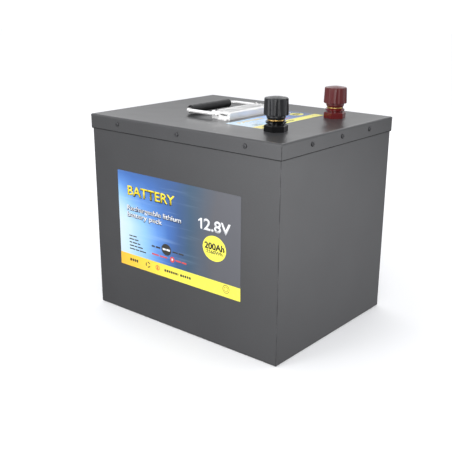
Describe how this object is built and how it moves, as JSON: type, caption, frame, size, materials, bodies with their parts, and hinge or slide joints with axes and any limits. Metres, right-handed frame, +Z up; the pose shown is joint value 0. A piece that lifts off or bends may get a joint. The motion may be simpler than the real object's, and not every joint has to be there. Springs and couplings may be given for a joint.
{
  "type": "battery pack",
  "caption": "Sheet-steel boxed rechargeable battery pack with a screwed shoebox lid, a folding wire bail handle and screw-down terminal knobs on top.",
  "frame": {"origin": "on the floor under the centre of the box", "axes": "+X along the label face towards the terminals, +Y from the label face to the back, +Z up"},
  "size_m": [0.3026, 0.2376, 0.2968],
  "materials": {
    "powder_coat": "satin dark grey powder coat",
    "chrome": "polished plate",
    "grip_vinyl": "satin black vinyl",
    "seal_rubber": "matt black rubber",
    "black_screw": "black oxide",
    "black_plastic": "moulded, semi-gloss",
    "red_plastic": "moulded, semi-gloss",
    "brass": "turned",
    "steel": "zinc plated",
    "label_film": "printed satin film",
    "cell_film": "blue film on an aluminium can",
    "aluminium": "mill finish",
    "copper": "copper",
    "foam": "closed-cell foam",
    "epoxy_sheet": "glass-epoxy sheet",
    "clear_sheet": "polycarbonate sheet",
    "board": "soldermask",
    "chip": "moulded epoxy",
    "nylon": "moulded nylon",
    "black_cable": "silicone insulation",
    "red_cable": "silicone insulation"
  },
  "bodies": {
    "pack": {"case_shell": "powder_coat", "lid": "powder_coat", "lid_seal": "seal_rubber", "lid_screws": "black_screw", "clinch_nuts": "steel", "front_label": "label_film", "top_label": "label_film", "handle_base": "chrome", "handle_floor_plate": "steel", "handle_nuts": "steel", "handle_backing_plate": "steel", "handle_bolts": "steel", "negative_base": "black_plastic", "negative_stud": "brass", "negative_insulator": "black_plastic", "positive_base": "red_plastic", "positive_stud": "brass", "positive_insulator": "red_plastic", "stud_nuts": "steel", "stud_washers": "steel", "stud_spring_washers": "steel", "cell_1": "cell_film", "cell_2": "cell_film", "cell_3": "cell_film", "cell_4": "cell_film", "cell_posts": "aluminium", "cell_vents": "aluminium", "cell_separators": "epoxy_sheet", "end_plates": "aluminium", "stack_bands": "steel", "busbar_1": "copper", "busbar_2": "copper", "busbar_3": "copper", "busbar_nuts": "steel", "bottom_pad": "foam", "side_pads": "foam", "left_pad": "foam", "partition_board": "epoxy_sheet", "top_insulator": "clear_sheet", "hold_down_foam": "foam", "bms_board": "board", "bms_heatsink": "aluminium", "bms_mosfets": "chip", "bms_connectors": "nylon", "bms_standoffs": "steel", "bms_screws": "steel", "cable_lugs": "copper", "positive_cable": "red_cable", "battery_negative_cable": "black_cable", "output_negative_cable": "black_cable", "balance_leads": "black_cable", "temperature_sensor": "chip"},
    "bail": {"handle_bail": "chrome", "handle_grip": "grip_vinyl"},
    "negative_washer": {"negative_clamp_washer": "brass"},
    "negative_knob": {"negative_knob": "black_plastic", "negative_knob_insert": "brass"},
    "positive_washer": {"positive_clamp_washer": "brass"},
    "positive_knob": {"positive_knob": "red_plastic", "positive_knob_insert": "brass"}
  },
  "joints": [
    {"name": "bail_fold", "type": "hinge", "parent": "pack", "child": "bail", "pos_m": [-0.0088, 0, 0.264], "axis": [0, 1, 0], "range_deg": [0, 90]},
    {"name": "negative_lift", "type": "slide", "parent": "pack", "child": "negative_washer", "axis": [0, 0, 1], "range_m": [0, 0.0101]},
    {"name": "negative_turn", "type": "hinge", "parent": "negative_washer", "child": "negative_knob", "pos_m": [0.1, -0.061, 0.27135], "axis": [0, 0, 1], "range_deg": [0, 2880]},
    {"name": "positive_lift", "type": "slide", "parent": "pack", "child": "positive_washer", "axis": [0, 0, 1], "range_m": [0, 0.0101]},
    {"name": "positive_turn", "type": "hinge", "parent": "positive_washer", "child": "positive_knob", "pos_m": [0.1, 0.061, 0.27135], "axis": [0, 0, 1], "range_deg": [0, 2880]}
  ],
  "couplings": [
    {"joint": "negative_lift", "follows": "negative_turn", "m_per_rad": 0.00019894},
    {"joint": "positive_lift", "follows": "positive_turn", "m_per_rad": 0.00019894}
  ]
}
